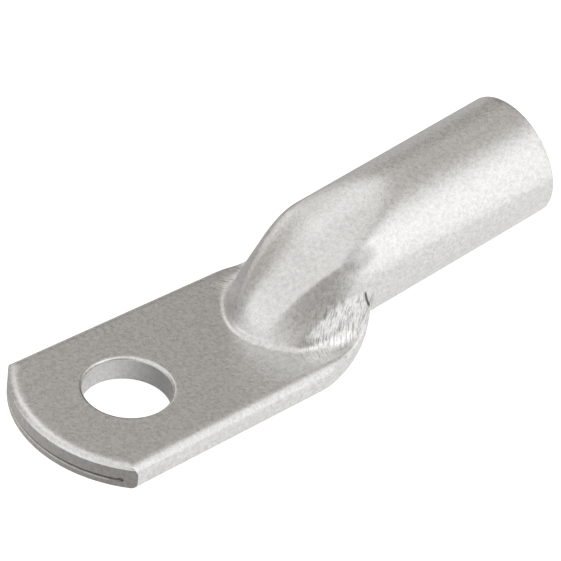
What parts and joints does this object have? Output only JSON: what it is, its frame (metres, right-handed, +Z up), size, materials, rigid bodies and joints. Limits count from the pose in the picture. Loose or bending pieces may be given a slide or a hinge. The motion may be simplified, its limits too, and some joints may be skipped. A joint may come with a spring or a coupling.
{
  "type": "cable lug",
  "caption": "Tinned copper tube lug: a round open barrel for a stripped cable that runs through a folded shoulder into a flat palm with a bolt hole.",
  "frame": {"origin": "middle of the bolt hole, on the flat underside of the palm", "axes": "+X from the tip of the palm towards the mouth of the barrel, +Y across the palm, +Z up out of the palm's flat top, on the side that the barrel rises"},
  "size_m": [0.0587, 0.0188, 0.0153],
  "materials": {
    "tinned_copper": "satin tin plating over copper, finely mottled"
  },
  "bodies": {
    "root": {"cable_lug": "tinned_copper"}
  },
  "joints": []
}
